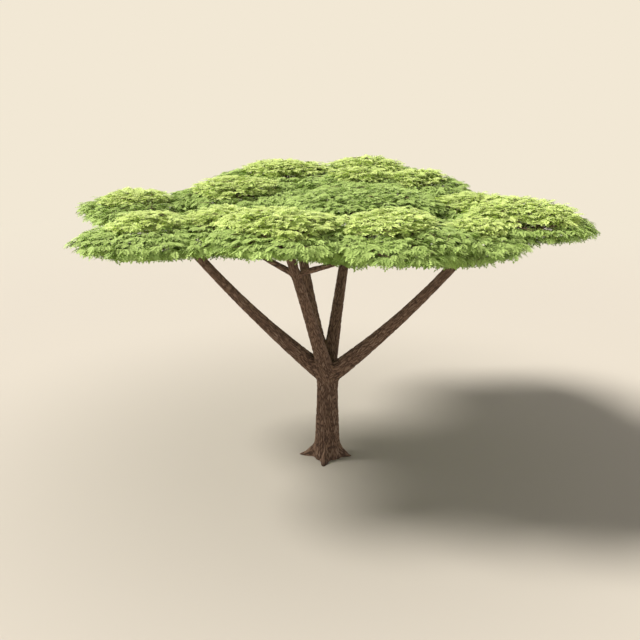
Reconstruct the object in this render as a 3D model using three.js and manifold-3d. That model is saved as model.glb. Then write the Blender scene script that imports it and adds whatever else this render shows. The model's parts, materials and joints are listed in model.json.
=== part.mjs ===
// An umbrella acacia: one short trunk with a flared foot, five boughs that fan out from a low fork,
// the limbs that they divide into, and a wide flat crown of separate foliage masses. Most masses are a
// thick lens, the pad, with a flatter cap of new growth on its top.
// Millimetres, +Z up. The origin is the middle of the flat cut under the trunk, at ground level.
import * as THREE from "three";
import { mergeVertices } from "three/addons/utils/BufferGeometryUtils.js";
import Module from "manifold-3d";

const wasm = await Module();
wasm.setup();

// ---- Driving dimensions ----
const FORK_HEIGHT = 1860;
const FOOT_SHIFT = [50, 0]; // how far the trunk's foot stands off the middle of its root toes
const FORK_SHIFT = [56, 0]; // and how far the fork does
const TRUNK_GIRTH = [ // radius of the trunk at shares of its height
  [0, 290], [0.07, 262], [0.17, 248], [0.32, 236], [0.55, 222], [0.8, 208], [1, 201],
];
const TRUNK_SIDES = 32;
const TRUNK_STEPS = 8;
const ROOT_TOES = 4;
const ROOT_TURN = THREE.MathUtils.degToRad(-4);
const ROOT_REACH = 262; // how far a toe stands out past the foot, at the ground
const ROOT_HEIGHT = 330;
const ROOT_NARROWNESS = 3; // power of the toe's lobe round the foot
const ROOT_FALL = 1.6; // power of its fall with height

const LIMB_SIDES = 8;
const BOUGH_STEPS = 5;
const LIMB_STEPS = 4;
const LIMB_TAPER = 2.2; // 1 tapers evenly, more loses girth sooner
const LIMB_SAG = -30; // bow of a limb that states none
const SAG_REACH = 0.06; // a limb that bows down also runs out further, by this share of its plan length
const TIP_ROUNDING = 0.35; // length of a limb's rounded end, as a share of its radius

const MASS_DETAIL = 2; // icosphere divisions
const RIM_SHARPNESS = 1.12; // 1 is an ellipsoid, more gives a lens with a thin rim
const CAP_SEAT = 0.85; // height of a cap's rim over its pad's rim, as a share of the pad's rise
const CAP_BREADTH = 0.92; // breadth over length
const CAP_DROP = 170;
const CAP_TURN = 15; // degrees further round than its pad

const GAP = 0.3; // between neighbours
const REACH = 20000; // larger than the tree

const BARK = { color: 0x54412f, roughness: 0.95, metalness: 0 };
const LEAF = { color: 0x6f8f45, roughness: 0.85, metalness: 0 };
const YOUNG_LEAF = { color: 0xa3bd5a, roughness: 0.85, metalness: 0 };

// The foliage masses: middle of the rim, half length and half breadth, height of the top and depth of
// the belly from the rim, turn in degrees about Z, and the cap on its top: its shift in plan, its half
// length and its rise.
const PADS = [
  { name: "left_front", at: [-3100, -1700, 5295], size: [1460, 1330], rise: 240, drop: 440, turn: 8,
    cap: { shift: [-120, 140], long: 710, rise: 210 } },
  { name: "left_back", at: [-3820, 780, 5280], size: [1390, 1330], rise: 320, drop: 330, turn: -6,
    cap: { shift: [-100, 40], long: 740, rise: 200 } },
  { name: "middle_left", at: [-1830, 1410, 5470], size: [1690, 1360], rise: 290, drop: 360, turn: 5,
    cap: { shift: [-90, -50], long: 920, rise: 200 } },
  { name: "back_left", at: [-1080, 3600, 5610], size: [1560, 1330], rise: 260, drop: 360, turn: -12,
    cap: { shift: [160, -60], long: 980, rise: 185 } },
  { name: "back_right", at: [960, 3850, 5650], size: [1420, 1250], rise: 250, drop: 350, turn: 6,
    cap: { shift: [20, -60], long: 900, rise: 200 } },
  { name: "back_middle", at: [600, 2230, 5600], size: [1340, 1120], rise: 260, drop: 350, turn: 0,
    cap: { shift: [160, 80], long: 640, rise: 190 } },
  { name: "back_outer", at: [2080, 2560, 5500], size: [1230, 1250], rise: 280, drop: 350, turn: -18,
    cap: { shift: [20, 40], long: 700, rise: 190 } },
  { name: "inner_left", at: [-1150, -300, 5190], size: [1650, 920], rise: 240, drop: 330, turn: 6 },
  { name: "inner_right", at: [2080, -450, 5170], size: [1080, 880], rise: 230, drop: 330, turn: -8 },
  { name: "centre", at: [760, 440, 5470], size: [1680, 1500], rise: 370, drop: 380, turn: 4 },
  { name: "front_inner", at: [-2200, -1500, 5265], size: [1500, 1250], rise: 300, drop: 380, turn: 14,
    cap: { shift: [320, 240], long: 780, rise: 200 } },
  { name: "front_middle", at: [260, -1600, 5050], size: [960, 880], rise: 280, drop: 315, turn: 0 },
  { name: "front_left", at: [-820, -2080, 5370], size: [1520, 1250], rise: 290, drop: 385, turn: -4,
    cap: { shift: [20, 60], long: 1000, rise: 220 } },
  { name: "front_right", at: [1320, -2330, 5310], size: [1340, 1300], rise: 320, drop: 405, turn: 3,
    cap: { shift: [-230, 300], long: 880, rise: 250 } },
  { name: "right_front", at: [2460, -1680, 5170], size: [1180, 1200], rise: 280, drop: 390, turn: -20,
    cap: { shift: [250, 60], long: 560, rise: 190 } },
  { name: "right", at: [3840, -540, 5295], size: [1390, 1250], rise: 270, drop: 400, turn: 10,
    cap: { shift: [-20, 20], long: 1060, rise: 230 } },
  { name: "right_back", at: [3090, 860, 5280], size: [1310, 1250], rise: 260, drop: 350, turn: 0,
    cap: { shift: [-40, -60], long: 780, rise: 160 } },
];

// The boughs leave the fork, and the limbs leave a bough at a share of its length. Each has the end that
// it would reach inside a mass, its radius at root and end, the height that its middle bows by, and how far
// along X its middle sways.
const BOUGHS = [
  { name: "bough_left", to: [-2735, -960, 5060], radii: [208, 88], bow: -110, sway: 0 },
  { name: "bough_front", to: [-715, -1960, 5160], radii: [190, 88], bow: 30, sway: 0 },
  { name: "bough_right", to: [2780, -1150, 5000], radii: [208, 94], bow: -160, sway: 0 },
  { name: "bough_back_right", to: [715, 2500, 5420], radii: [172, 92], bow: 20, sway: -40 },
  { name: "bough_back_left", to: [-660, 1960, 5300], radii: [158, 96], bow: -20, sway: -110 },
];
const LIMBS = [
  { name: "limb_left_back", from: "bough_left", share: 0.88, to: [-3500, 520, 5180], radii: [58, 40] },
  { name: "limb_front_inner", from: "bough_front", share: 0.8, to: [-1580, -1560, 5140], radii: [70, 46] },
  { name: "limb_front_right", from: "bough_front", share: 0.8, to: [800, -2060, 5100], radii: [66, 44] },
  { name: "limb_inner_left", from: "bough_front", share: 0.86, to: [-980, -620, 5080], radii: [54, 38] },
  { name: "limb_right", from: "bough_right", share: 0.88, to: [3560, -560, 5080], radii: [58, 40] },
  { name: "limb_right_back", from: "bough_right", share: 0.86, to: [2960, 560, 5200], radii: [56, 38] },
  { name: "limb_inner_right", from: "bough_right", share: 0.93, to: [2120, -560, 5060], radii: [50, 36] },
  { name: "limb_back_outer", from: "bough_back_right", share: 0.78, to: [1900, 2420, 5380], radii: [64, 42] },
  { name: "limb_back_right", from: "bough_back_right", share: 0.9, to: [980, 3560, 5480], radii: [62, 40] },
  { name: "limb_back_left", from: "bough_back_left", share: 0.82, to: [-1040, 3250, 5440], radii: [64, 40] },
  { name: "limb_centre", from: "bough_back_left", share: 0.68, to: [420, 760, 5300], radii: [60, 40] },
];

// ---- Solids ----
const vec = (p) => new THREE.Vector3(...p);
const UP = vec([0, 0, 1]);

// A closed geometry as a manifold-3d solid.
function solidOf(geometry) {
  const bare = new THREE.BufferGeometry().setAttribute("position", geometry.getAttribute("position"));
  if (geometry.index) bare.setIndex(geometry.index);
  const merged = mergeVertices(bare, 1e-3);
  return new wasm.Manifold(new wasm.Mesh({
    numProp: 3,
    vertProperties: new Float32Array(merged.attributes.position.array),
    triVerts: new Uint32Array(merged.index.array),
  }));
}

// The triangles of a manifold-3d solid as a geometry.
function geometryOf(solid) {
  const mesh = solid.getMesh();
  const geometry = new THREE.BufferGeometry()
    .setAttribute("position", new THREE.BufferAttribute(mesh.vertProperties, 3))
    .setIndex(new THREE.BufferAttribute(mesh.triVerts, 1));
  geometry.computeVertexNormals();
  return geometry;
}

// The part of a solid behind a plane, on the side that its normal points away from, half a gap clear.
function cutByPlane(solid, normal, point) {
  const turn = new THREE.Quaternion().setFromUnitVectors(UP, normal.clone().normalize());
  const box = new THREE.BoxGeometry(REACH, REACH, REACH)
    .translate(0, 0, REACH / 2 - GAP / 2)
    .applyQuaternion(turn)
    .translate(...point);
  return solid.subtract(solidOf(box));
}

// The largest of a solid's separate bodies.
function largestOf(solid) {
  return solid.decompose().sort((a, b) => b.volume() - a.volume())[0];
}

// The solid grown about a point, by a gap at the distance given, to cut a neighbour with.
function grown(solid, middle, distance) {
  const by = 1 + GAP / distance;
  return solid.scale([by, by, by]).translate(middle.map((c) => c * (1 - by)));
}

const overlap = (a, b) => a.intersect(b).volume() > 0;

// ---- Trunk ----
// A lathe of the trunk's girth, shifted by its lean, with the toes of the root flare pushed out: each
// toe is a narrow lobe round the foot that dies away with height, and its tip keeps clear of the shift.
function trunkGeometry() {
  const girth = new THREE.SplineCurve(
    TRUNK_GIRTH.map(([share, radius]) => new THREE.Vector2(radius, share * FORK_HEIGHT)));
  const rows = girth.getPoints(TRUNK_STEPS);
  const profile = [new THREE.Vector2(0, 0), ...rows, new THREE.Vector2(0, FORK_HEIGHT)];
  const geometry = new THREE.LatheGeometry(profile, TRUNK_SIDES).rotateX(Math.PI / 2);
  const p = geometry.getAttribute("position");
  for (let i = 0; i < p.count; i++) {
    const [x, y, z] = [p.getX(i), p.getY(i), p.getZ(i)];
    const radius = Math.hypot(x, y);
    const lobe = Math.max(0, Math.cos(ROOT_TOES * (Math.atan2(y, x) - ROOT_TURN))) ** ROOT_NARROWNESS;
    const low = Math.max(0, 1 - z / ROOT_HEIGHT) ** ROOT_FALL;
    const out = radius > 1 ? 1 + (ROOT_REACH * lobe * low) / radius : 1;
    const [shiftX, shiftY] = [0, 1].map((k) => (
      THREE.MathUtils.lerp(FOOT_SHIFT[k], FORK_SHIFT[k], z / FORK_HEIGHT) * (1 - lobe * low)));
    p.setXYZ(i, x * out + shiftX, y * out + shiftY, z);
  }
  return geometry;
}

// ---- Boughs and limbs ----
// A limb's centre line: from its root to its end, with its middle bowed up or down and to one side.
function centreLine(from, to, bow, sway = 0) {
  const middle = from.clone().lerp(to, 0.5);
  const outwards = new THREE.Vector3(to.x - from.x, to.y - from.y, 0);
  middle.x += sway;
  middle.z += bow;
  if (bow < 0) middle.addScaledVector(outwards, SAG_REACH);
  return new THREE.QuadraticBezierCurve3(from, middle, to);
}

// A tapering rod with a rounded end, a lathe bent along the centre line.
function limbGeometry(line, [rootRadius, tipRadius], steps) {
  const profile = [new THREE.Vector2(0, 0)];
  for (let row = 0; row <= steps; row++) {
    const radius = THREE.MathUtils.lerp(tipRadius, rootRadius, (1 - row / steps) ** LIMB_TAPER);
    profile.push(new THREE.Vector2(radius, row));
  }
  profile.push(new THREE.Vector2(0, steps + 1));
  const geometry = new THREE.LatheGeometry(profile, LIMB_SIDES).rotateX(Math.PI / 2);
  const frames = line.computeFrenetFrames(steps, false);
  const p = geometry.getAttribute("position");
  const spot = new THREE.Vector3();
  for (let i = 0; i < p.count; i++) {
    const row = Math.round(p.getZ(i));
    const step = Math.min(row, steps);
    line.getPointAt(step / steps, spot)
      .addScaledVector(frames.normals[step], p.getX(i))
      .addScaledVector(frames.binormals[step], p.getY(i))
      .addScaledVector(frames.tangents[step], (row - step) * tipRadius * TIP_ROUNDING);
    p.setXYZ(i, spot.x, spot.y, spot.z);
  }
  return geometry;
}

// ---- Foliage ----
// An icosphere pressed into a lens. Its outline swells and shrinks round the rim in three waves, and
// its top and belly are uneven by two more, all set off by the seed.
function lensGeometry({ at, size, rise, drop, turn }, seed) {
  const geometry = new THREE.IcosahedronGeometry(1, MASS_DETAIL);
  const p = geometry.getAttribute("position");
  for (let i = 0; i < p.count; i++) {
    const [nx, ny, nz] = [p.getX(i), p.getY(i), p.getZ(i)];
    const angle = Math.atan2(ny, nx);
    const outline = 1 + 0.05 * Math.sin(2 * angle + seed) + 0.05 * Math.sin(3 * angle + 2.3 * seed)
      + 0.03 * Math.sin(5 * angle + 4.1 * seed);
    const uneven = 1 + 0.1 * Math.sin(3 * nx + 2 * ny + seed) + 0.08 * Math.sin(4 * ny - 3 * nx + 1.7 * seed);
    const height = Math.sign(nz) * Math.abs(nz) ** RIM_SHARPNESS * (nz > 0 ? rise : drop) * uneven;
    p.setXYZ(i, nx * size[0] * outline, ny * size[1] * outline, height);
  }
  return geometry.rotateZ(THREE.MathUtils.degToRad(turn)).translate(...at);
}

// Two lenses that run into each other meet on a flat face: the plane through their crossing, worked out
// as for two balls once heights are stretched by the lenses' own flatness.
function meetingPlane(a, b) {
  const ball = ({ at, size, rise, drop }) => {
    const radius = Math.sqrt(size[0] * size[1]);
    return { at: vec(at), radius, flatness: (2 * radius) / (rise + drop) };
  };
  const [p, q] = [ball(a), ball(b)];
  const apart = q.at.clone().sub(p.at);
  const normal = apart.clone();
  normal.z *= ((p.flatness + q.flatness) / 2) ** 2;
  const share = 0.5 + (p.radius ** 2 - q.radius ** 2) / (2 * apart.dot(normal));
  return { normal, point: p.at.clone().addScaledVector(apart, share) };
}

function capOf(pad) {
  const { shift, long, rise } = pad.cap;
  const [x, y, z] = pad.at;
  return {
    at: [x + shift[0], y + shift[1], z + pad.rise * CAP_SEAT],
    size: [long, long * CAP_BREADTH],
    rise, drop: CAP_DROP, turn: pad.turn + CAP_TURN,
  };
}

const grownMass = (mass) => grown(mass.solid, mass.lens.at, mass.lens.rise);

// Lenses of one kind that run into each other are cut flat where they meet.
function parted(masses) {
  for (const m of masses) m.solid = m.whole = solidOf(lensGeometry(m.lens, m.seed));
  masses.forEach((a, i) => masses.slice(i + 1).filter((b) => overlap(a.whole, b.whole)).forEach((b) => {
    const { normal, point } = meetingPlane(a.lens, b.lens);
    a.solid = cutByPlane(a.solid, normal, point);
    b.solid = cutByPlane(b.solid, normal.clone().negate(), point);
  }));
  return masses;
}

// The pads, and the caps cut back to the skin of the pads that they sit on.
function foliage() {
  const pads = parted(PADS.map((pad, i) => (
    { name: "foliage_" + pad.name, lens: pad, seed: 1.9 * i + 0.7, look: LEAF })));
  const caps = parted(PADS.filter((pad) => pad.cap).map((pad, i) => (
    { name: "new_growth_" + pad.name, lens: capOf(pad), seed: 2.6 * i + 1.1, look: YOUNG_LEAF })));
  for (const pad of pads) pad.solid = largestOf(pad.solid);
  for (const cap of caps) {
    for (const pad of pads) cap.solid = cap.solid.subtract(grownMass(pad));
    cap.solid = largestOf(cap.solid);
  }
  return [...pads, ...caps];
}

// ---- The tree ----
const fork = new THREE.Vector3(...FORK_SHIFT, FORK_HEIGHT);

// The boughs, cut off level at the fork and parted there by the planes midway between their headings.
function boughsAtFork() {
  const boughs = BOUGHS.map((b) => {
    const line = centreLine(fork, vec(b.to), b.bow, b.sway);
    const solid = solidOf(limbGeometry(line, b.radii, BOUGH_STEPS));
    return { ...b, line, heading: line.getTangentAt(0.2), solid };
  });
  for (const b of boughs) {
    b.solid = cutByPlane(b.solid, UP.clone().negate(), fork);
    for (const other of boughs.filter((o) => o !== b))
      b.solid = cutByPlane(b.solid, other.heading.clone().sub(b.heading), fork);
  }
  return boughs;
}

// The limbs, cut back to the skin of their bough and of the limbs before them that leave it beside them.
function limbsOn(boughs) {
  const limbs = [];
  for (const l of LIMBS) {
    const bough = boughs.find((b) => b.name === l.from);
    const root = bough.line.getPointAt(l.share);
    const line = centreLine(root, vec(l.to), LIMB_SAG);
    let solid = solidOf(limbGeometry(line, l.radii, LIMB_STEPS));
    solid = solid.subtract(grown(bough.solid, root.toArray(), bough.radii[1]));
    for (const other of limbs.filter((o) => overlap(o.solid, solid)))
      solid = solid.subtract(grown(other.solid, other.root.toArray(), other.radii[0]));
    limbs.push({ ...l, root, solid });
  }
  return limbs;
}

// A limb's end is cut back to the skin of every mass that it reaches.
function endedAt(masses, limb) {
  return largestOf(masses.reduce((solid, mass) => solid.subtract(grownMass(mass)), limb.solid));
}

const tree = new THREE.Group();

function addMesh(name, solid, look) {
  const material = new THREE.MeshStandardMaterial({ ...look, flatShading: true });
  const mesh = new THREE.Mesh(geometryOf(solid), material);
  mesh.name = name;
  tree.add(mesh);
}

const masses = foliage();
const boughs = boughsAtFork();

addMesh("trunk", cutByPlane(solidOf(trunkGeometry()), UP, fork), BARK);
for (const limb of [...boughs, ...limbsOn(boughs)]) addMesh(limb.name, endedAt(masses, limb), BARK);
for (const mass of masses) addMesh(mass.name, mass.solid, mass.look);

export default tree;
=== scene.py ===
"""The looks of an umbrella acacia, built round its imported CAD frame.

The frame gives the run and girth of the trunk, boughs and limbs, and the room that each mass of foliage
fills. Bark is carried along those runs as a relief, branches grow on from the limbs by a seeded rule until
they reach every spray of the crown, and each spray is a twig with feathered leaves. Metres, Z up; the front
looks along +Y.
"""

import json
import math
from collections import namedtuple
from functools import lru_cache

import bpy
import numpy as np
from bpy.props import FloatProperty, FloatVectorProperty, IntProperty, PointerProperty
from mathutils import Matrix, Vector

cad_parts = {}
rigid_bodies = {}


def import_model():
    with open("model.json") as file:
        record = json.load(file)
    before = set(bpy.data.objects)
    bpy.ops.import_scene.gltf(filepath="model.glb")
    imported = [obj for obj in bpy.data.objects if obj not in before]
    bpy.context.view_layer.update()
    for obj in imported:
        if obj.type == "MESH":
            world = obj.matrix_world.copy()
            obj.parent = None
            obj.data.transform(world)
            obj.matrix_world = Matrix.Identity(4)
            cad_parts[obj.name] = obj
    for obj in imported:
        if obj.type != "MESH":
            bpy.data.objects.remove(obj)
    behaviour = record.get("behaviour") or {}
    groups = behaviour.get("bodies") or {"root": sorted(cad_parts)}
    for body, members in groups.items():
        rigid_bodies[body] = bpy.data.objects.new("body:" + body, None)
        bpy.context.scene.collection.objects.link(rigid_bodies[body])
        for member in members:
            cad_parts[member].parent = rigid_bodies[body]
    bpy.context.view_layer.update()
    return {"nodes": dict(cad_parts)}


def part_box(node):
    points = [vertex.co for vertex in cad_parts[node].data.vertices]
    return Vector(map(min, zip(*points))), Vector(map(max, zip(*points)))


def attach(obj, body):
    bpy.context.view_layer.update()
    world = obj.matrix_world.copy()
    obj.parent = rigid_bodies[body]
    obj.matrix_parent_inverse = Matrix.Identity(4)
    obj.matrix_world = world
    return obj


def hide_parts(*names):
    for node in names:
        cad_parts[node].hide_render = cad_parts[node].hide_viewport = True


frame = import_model()

bl_info = {
    "name": "Umbrella Acacia",
    "version": (1, 0, 0),
    "blender": (4, 5, 0),
    "location": "3D View > Sidebar > Acacia",
    "description": "Bark, branches, twigs and leaves of an umbrella acacia, grown round its CAD frame",
    "category": "Object",
}

BODY = "root"
MOST_TRIANGLES = 190_000  # in one piece
FULL_TURN = 2 * math.pi
UP = np.array([0.0, 0.0, 1.0])
JOBS = {"crown": 0, "twigs": 1, "leaves": 2, "trunk": 10, "boughs": 11, "limbs": 12}  # added to the seed

NODES = frame["nodes"]
BOUGHS = sorted(n for n in NODES if n.startswith("bough_"))
LIMBS = sorted(n for n in NODES if n.startswith("limb_"))
MASSES = sorted(n for n in NODES if n.startswith("foliage_"))


# ---- Settings ----
def size_of(name, description, default, low=0.0):
    """A length in metres that a user may change."""
    return FloatProperty(name=name, description=description, default=default, min=low, unit="LENGTH")


def angle_of(name, description, degrees):
    """An angle, given in degrees."""
    return FloatProperty(name=name, description=description, default=math.radians(degrees), unit="ROTATION")


def share_of(name, description, default, high=1.0):
    """A plain number, from nothing up to a limit."""
    return FloatProperty(name=name, description=description, default=default, min=0.0, max=high)


def colour_of(name, description, default):
    """A colour, in linear light."""
    return FloatVectorProperty(name=name, description=description, default=default, min=0.0, max=1.0,
                               subtype="COLOR", size=3)


def count_of(name, description, default, low=1):
    """A whole number of things."""
    return IntProperty(name=name, description=description, default=default, min=low)


class BarkSettings(bpy.types.PropertyGroup):
    """Root flare, bark relief and bark colours."""

    toes: count_of("Root toes", "Toes of the root flare", 4)
    toe_turn: angle_of("Toe turn", "Turn of the first toe from +X", -4)
    toe_reach: size_of("Toe reach", "How far a toe stands out at the ground", 0.262)
    toe_height: size_of("Toe height", "Height at which the toes have died away", 0.42)
    ridge_spacing: size_of("Ridge spacing", "Bark ridge to bark ridge, round the trunk", 0.055, 0.01)
    plate_length: size_of("Plate length", "Length of a bark plate along the wood", 0.20, 0.02)
    trunk_depth: size_of("Trunk relief", "Furrow to ridge on the trunk", 0.022)
    bough_depth: size_of("Bough relief", "Furrow to ridge where a bough is thickest", 0.014)
    fillet: share_of("Fillet", "Breadth of the fillet where rods join, in radii of the thinner", 0.50, 3.0)
    ridge_colour: colour_of("Ridge colour", "Bark on the ridges", (0.160, 0.096, 0.061))
    furrow_colour: colour_of("Furrow colour", "Bark in the furrows", (0.034, 0.019, 0.012))
    weathered_colour: colour_of("Weathered colour", "Bark where it has greyed", (0.222, 0.164, 0.122))


class GrowthSettings(bpy.types.PropertyGroup):
    """The seeded rule that branches and sprays grow by."""

    seed: count_of("Seed", "Seed of everything that grows", 7, 0)
    ribs: count_of("Ribs", "Main branches that fan out from a limb's end", 6)
    step: size_of("Step", "Length that a branch grows at a time", 0.10, 0.02)
    twig_reach: size_of("Twig reach", "Distance at which a branch end leaves a spray to its twig", 0.20, 0.02)
    tip_radius: size_of("Tip radius", "Radius of a branch that carries one spray", 0.0042)
    spray_spacing: size_of("Spray spacing", "Spray to spray on the crown's top", 0.182, 0.05)
    rim_inset: size_of("Rim inset", "How far the outermost sprays stand in from the crown's rim", 0.09)


class LeafSettings(bpy.types.PropertyGroup):
    """Leaf sizes and the colours that are dealt out by spray."""

    leaves: count_of("Leaves", "Leaves in a spray", 9)
    length: size_of("Leaf length", "Length of a leaf's midrib", 0.122)
    pairs: count_of("Pairs", "Pairs of feathers on a leaf", 4)
    feather: size_of("Feather length", "Length of the longest feather", 0.061)
    breadth: size_of("Feather breadth", "Greatest breadth of a feather", 0.030)
    young_bright: colour_of("Young, bright", "New growth in full light", (0.645, 0.752, 0.235))
    young_soft: colour_of("Young, soft", "New growth between", (0.622, 0.742, 0.232))
    top: colour_of("Top", "Leaves on top of a mass", (0.430, 0.562, 0.158))
    middle: colour_of("Middle", "Leaves inside a mass", (0.422, 0.552, 0.155))
    # painted shade: the leaves below a mass get a darker green where the mass's own shade falls on its belly
    under_painted_shade: colour_of("Under", "Leaves below a mass", (0.335, 0.458, 0.122))


class StageSettings(bpy.types.PropertyGroup):
    """Camera, lights and floor."""

    lens: share_of("Lens", "Focal length in millimetres, on a 36 mm sensor", 46.9, 500.0)
    camera_height: size_of("Camera height", "Height of the camera", 8.44)
    camera_distance: size_of("Camera distance", "Level distance from the trunk to the camera", 16.57)
    camera_side: size_of("Camera side", "Place of the camera along X", -0.110, -10.0)
    camera_dip: angle_of("Camera dip", "Angle that the camera looks down by", 17.806)
    backdrop: colour_of("Backdrop", "Colour behind the tree", (0.888, 0.807, 0.665))
    floor: colour_of("Floor", "Colour of the floor away from the tree", (0.603, 0.546, 0.464))
    # painted shade: the floor's colour beneath the crown, darker where the crown's shade falls
    floor_painted_shade: colour_of("Floor, near", "Colour of the floor beneath the crown", (0.427, 0.386, 0.329))
    overhead_light: share_of("Overhead light", "Strength of the light from overhead", 0.09, 10.0)
    level_light: share_of("Level light", "Strength of the light from low down all round", 2.32, 20.0)
    sun_light: share_of("Sun light", "Strength of the soft sun", 4.6, 100.0)
    sun_angle: angle_of("Sun angle", "Breadth of the sun, which softens its shadows", 18)


SETTINGS = {
    "acacia_bark": BarkSettings,
    "acacia_growth": GrowthSettings,
    "acacia_leaf": LeafSettings,
    "acacia_stage": StageSettings,
}


def dice(job):
    """A fresh source of chance for one job."""
    return np.random.default_rng(bpy.context.scene.acacia_growth.seed + JOBS[job])


# ---- Small vector helpers ----
def unit(vectors):
    """Each vector at length 1."""
    return vectors / np.maximum(np.linalg.norm(vectors, axis=-1, keepdims=True), 1e-12)


def headings(lines):
    """The unit direction of lines (..., points, 3) at each point, from the difference of its neighbours."""
    return unit(np.gradient(lines, axis=-2))


def arc_length(line):
    """Distance along one line (points, 3) from its start to each of its points."""
    return np.concatenate([[0.0], np.cumsum(np.linalg.norm(np.diff(line, axis=0), axis=1))])


def at_length(line, values, where):
    """Values that belong to a line's points, read off at distances along it, and led on straight past it."""
    reach = arc_length(line)
    values = values.reshape(len(line), -1)
    inside = np.stack([np.interp(where, reach, column) for column in values.T], axis=-1)
    before = np.minimum(where, 0)[:, None] * (values[1] - values[0]) / (reach[1] - reach[0])
    after = np.maximum(where - reach[-1], 0)[:, None] * (values[-1] - values[-2]) / (reach[-1] - reach[-2])
    return inside + before + after


def parabola(start, bend, end, t):
    """The point at share t of a parabola that leaves its start towards the bend and comes from there to its
    end: (1 - t)² × start + 2t(1 - t) × bend + t² × end."""
    return (1 - t) ** 2 * start + 2 * t * (1 - t) * bend + t * t * end


def smooth_step(low, high, value):
    """0 below low, 1 above high, and 3t² - 2t³ between."""
    t = np.clip((value - low) / (high - low), 0, 1)
    return t * t * (3 - 2 * t)


def rings(lines, sides):
    """The angles of even points round lines (..., points, 3), and the unit directions out to them at each of
    the lines' points: cos a × side + sin a × top, where side and top are square to the line and to each
    other.

    A world axis that lies well off a line's own direction is the reference for the whole of the line.
    """
    ways = headings(lines)
    mean = unit(lines[..., -1, :] - lines[..., 0, :])
    reference = np.eye(3)[np.argmin(abs(mean), axis=-1)][..., None, :]
    side = unit(np.cross(reference, ways))
    top = np.cross(ways, side)
    angle = np.arange(sides) * FULL_TURN / sides
    return angle, np.cos(angle)[:, None] * side[..., None, :] + np.sin(angle)[:, None] * top[..., None, :]


# ---- What the frame says ----
Rod = namedtuple("Rod", "node line radii parent")  # a run of wood: its middle line and its radius along it

LINE_STEP = 0.03  # between the points of a rod's line
CUTS = 12  # that a bough's or limb's line is fitted through, and half as many as the trunk's
TRUNK_CUTS = (0.02, 0.99)  # shares of the trunk's height between which it is cut
ROD_CUTS = (0.14, 0.84)  # shares of a bough's or limb's length between which it is cut, clear of its ends
TOE_FREE = 20  # percentile of the outline's radii that lies between the toes
GIRTH_DEGREE = 5  # of the polynomial that gives the trunk's girth
FORK_WEIGHT = 6.0  # of the fork in a bough's fit, where each cut has 1
FITTED = 60  # points on a fitted line
LEAD_POINTS = 24  # on the curve that leads a rod out of its parent
LOOK_BACK = 0.3  # how far behind a limb's end its root on a bough is looked for
FACET_LOSS = 1.04  # a round rod over a faceted one of the same area, with a little for its bark
# How far short of its root a rod leaves its parent's line, and how far past it the rod is on its own.
BOUGH_LEAD, LIMB_LEAD = (0.12, 0.28), (0.10, 0.20)


def solid_of(node):
    """The corner points and the triangles of a node's mesh, as arrays."""
    data = NODES[node].data
    points = np.empty(len(data.vertices) * 3)
    data.vertices.foreach_get("co", points)
    data.calc_loop_triangles()
    triangles = np.empty(len(data.loop_triangles) * 3, int)
    data.loop_triangles.foreach_get("vertices", triangles)
    return points.reshape(-1, 3), triangles.reshape(-1, 3)


def cut_across(points, triangles, axis, station):
    """The middle, area and outline radii of the cut through a solid where its height along the axis is the
    station.

    The triangles' edges are crossed with the plane, the crossings are put in order round their mean, and the
    area and its middle follow from the cross products of neighbours.
    """
    height = points @ axis - station
    edges = np.concatenate([triangles[:, [0, 1]], triangles[:, [1, 2]], triangles[:, [2, 0]]])
    low, high = height[edges].T
    crossed = low * high < 0
    edges, low, high = edges[crossed], low[crossed], high[crossed]
    spots = points[edges[:, 0]] + (low / (low - high))[:, None] * (points[edges[:, 1]] - points[edges[:, 0]])
    middle = spots.mean(0)
    across = unit(np.cross(axis, np.eye(3)[np.argmin(abs(axis))]))
    over = np.cross(axis, across)
    flat = np.stack([(spots - middle) @ across, (spots - middle) @ over], axis=-1)
    flat = flat[np.argsort(np.arctan2(flat[:, 1], flat[:, 0]))]
    ahead = np.roll(flat, -1, axis=0)
    cross = flat[:, 0] * ahead[:, 1] - flat[:, 1] * ahead[:, 0]
    area = cross.sum() / 2
    u, v = ((flat + ahead) * cross[:, None]).sum(0) / (6 * area)
    return middle + u * across + v * over, area, np.linalg.norm(flat, axis=1)


def trunk_rod():
    """The trunk: its middles lie on a straight lean, and its girth is a smooth curve of height through the
    clear outline between the toes of the flare."""
    points, triangles = solid_of("trunk")
    top = points[:, 2].max()
    stations = np.linspace(*TRUNK_CUTS, 2 * CUTS) * top
    cuts = [cut_across(points, triangles, UP, z) for z in stations]
    heights = np.arange(0, top + LINE_STEP, LINE_STEP)
    lean = [np.polyval(np.polyfit(stations, [c[0][k] for c in cuts], 1), heights) for k in (0, 1)]
    girth = np.polyfit(stations, [np.percentile(c[2], TOE_FREE) for c in cuts], GIRTH_DEGREE)
    line = np.stack([*lean, heights], axis=-1)
    return Rod("trunk", line, np.polyval(girth, heights) * FACET_LOSS, None)


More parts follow.
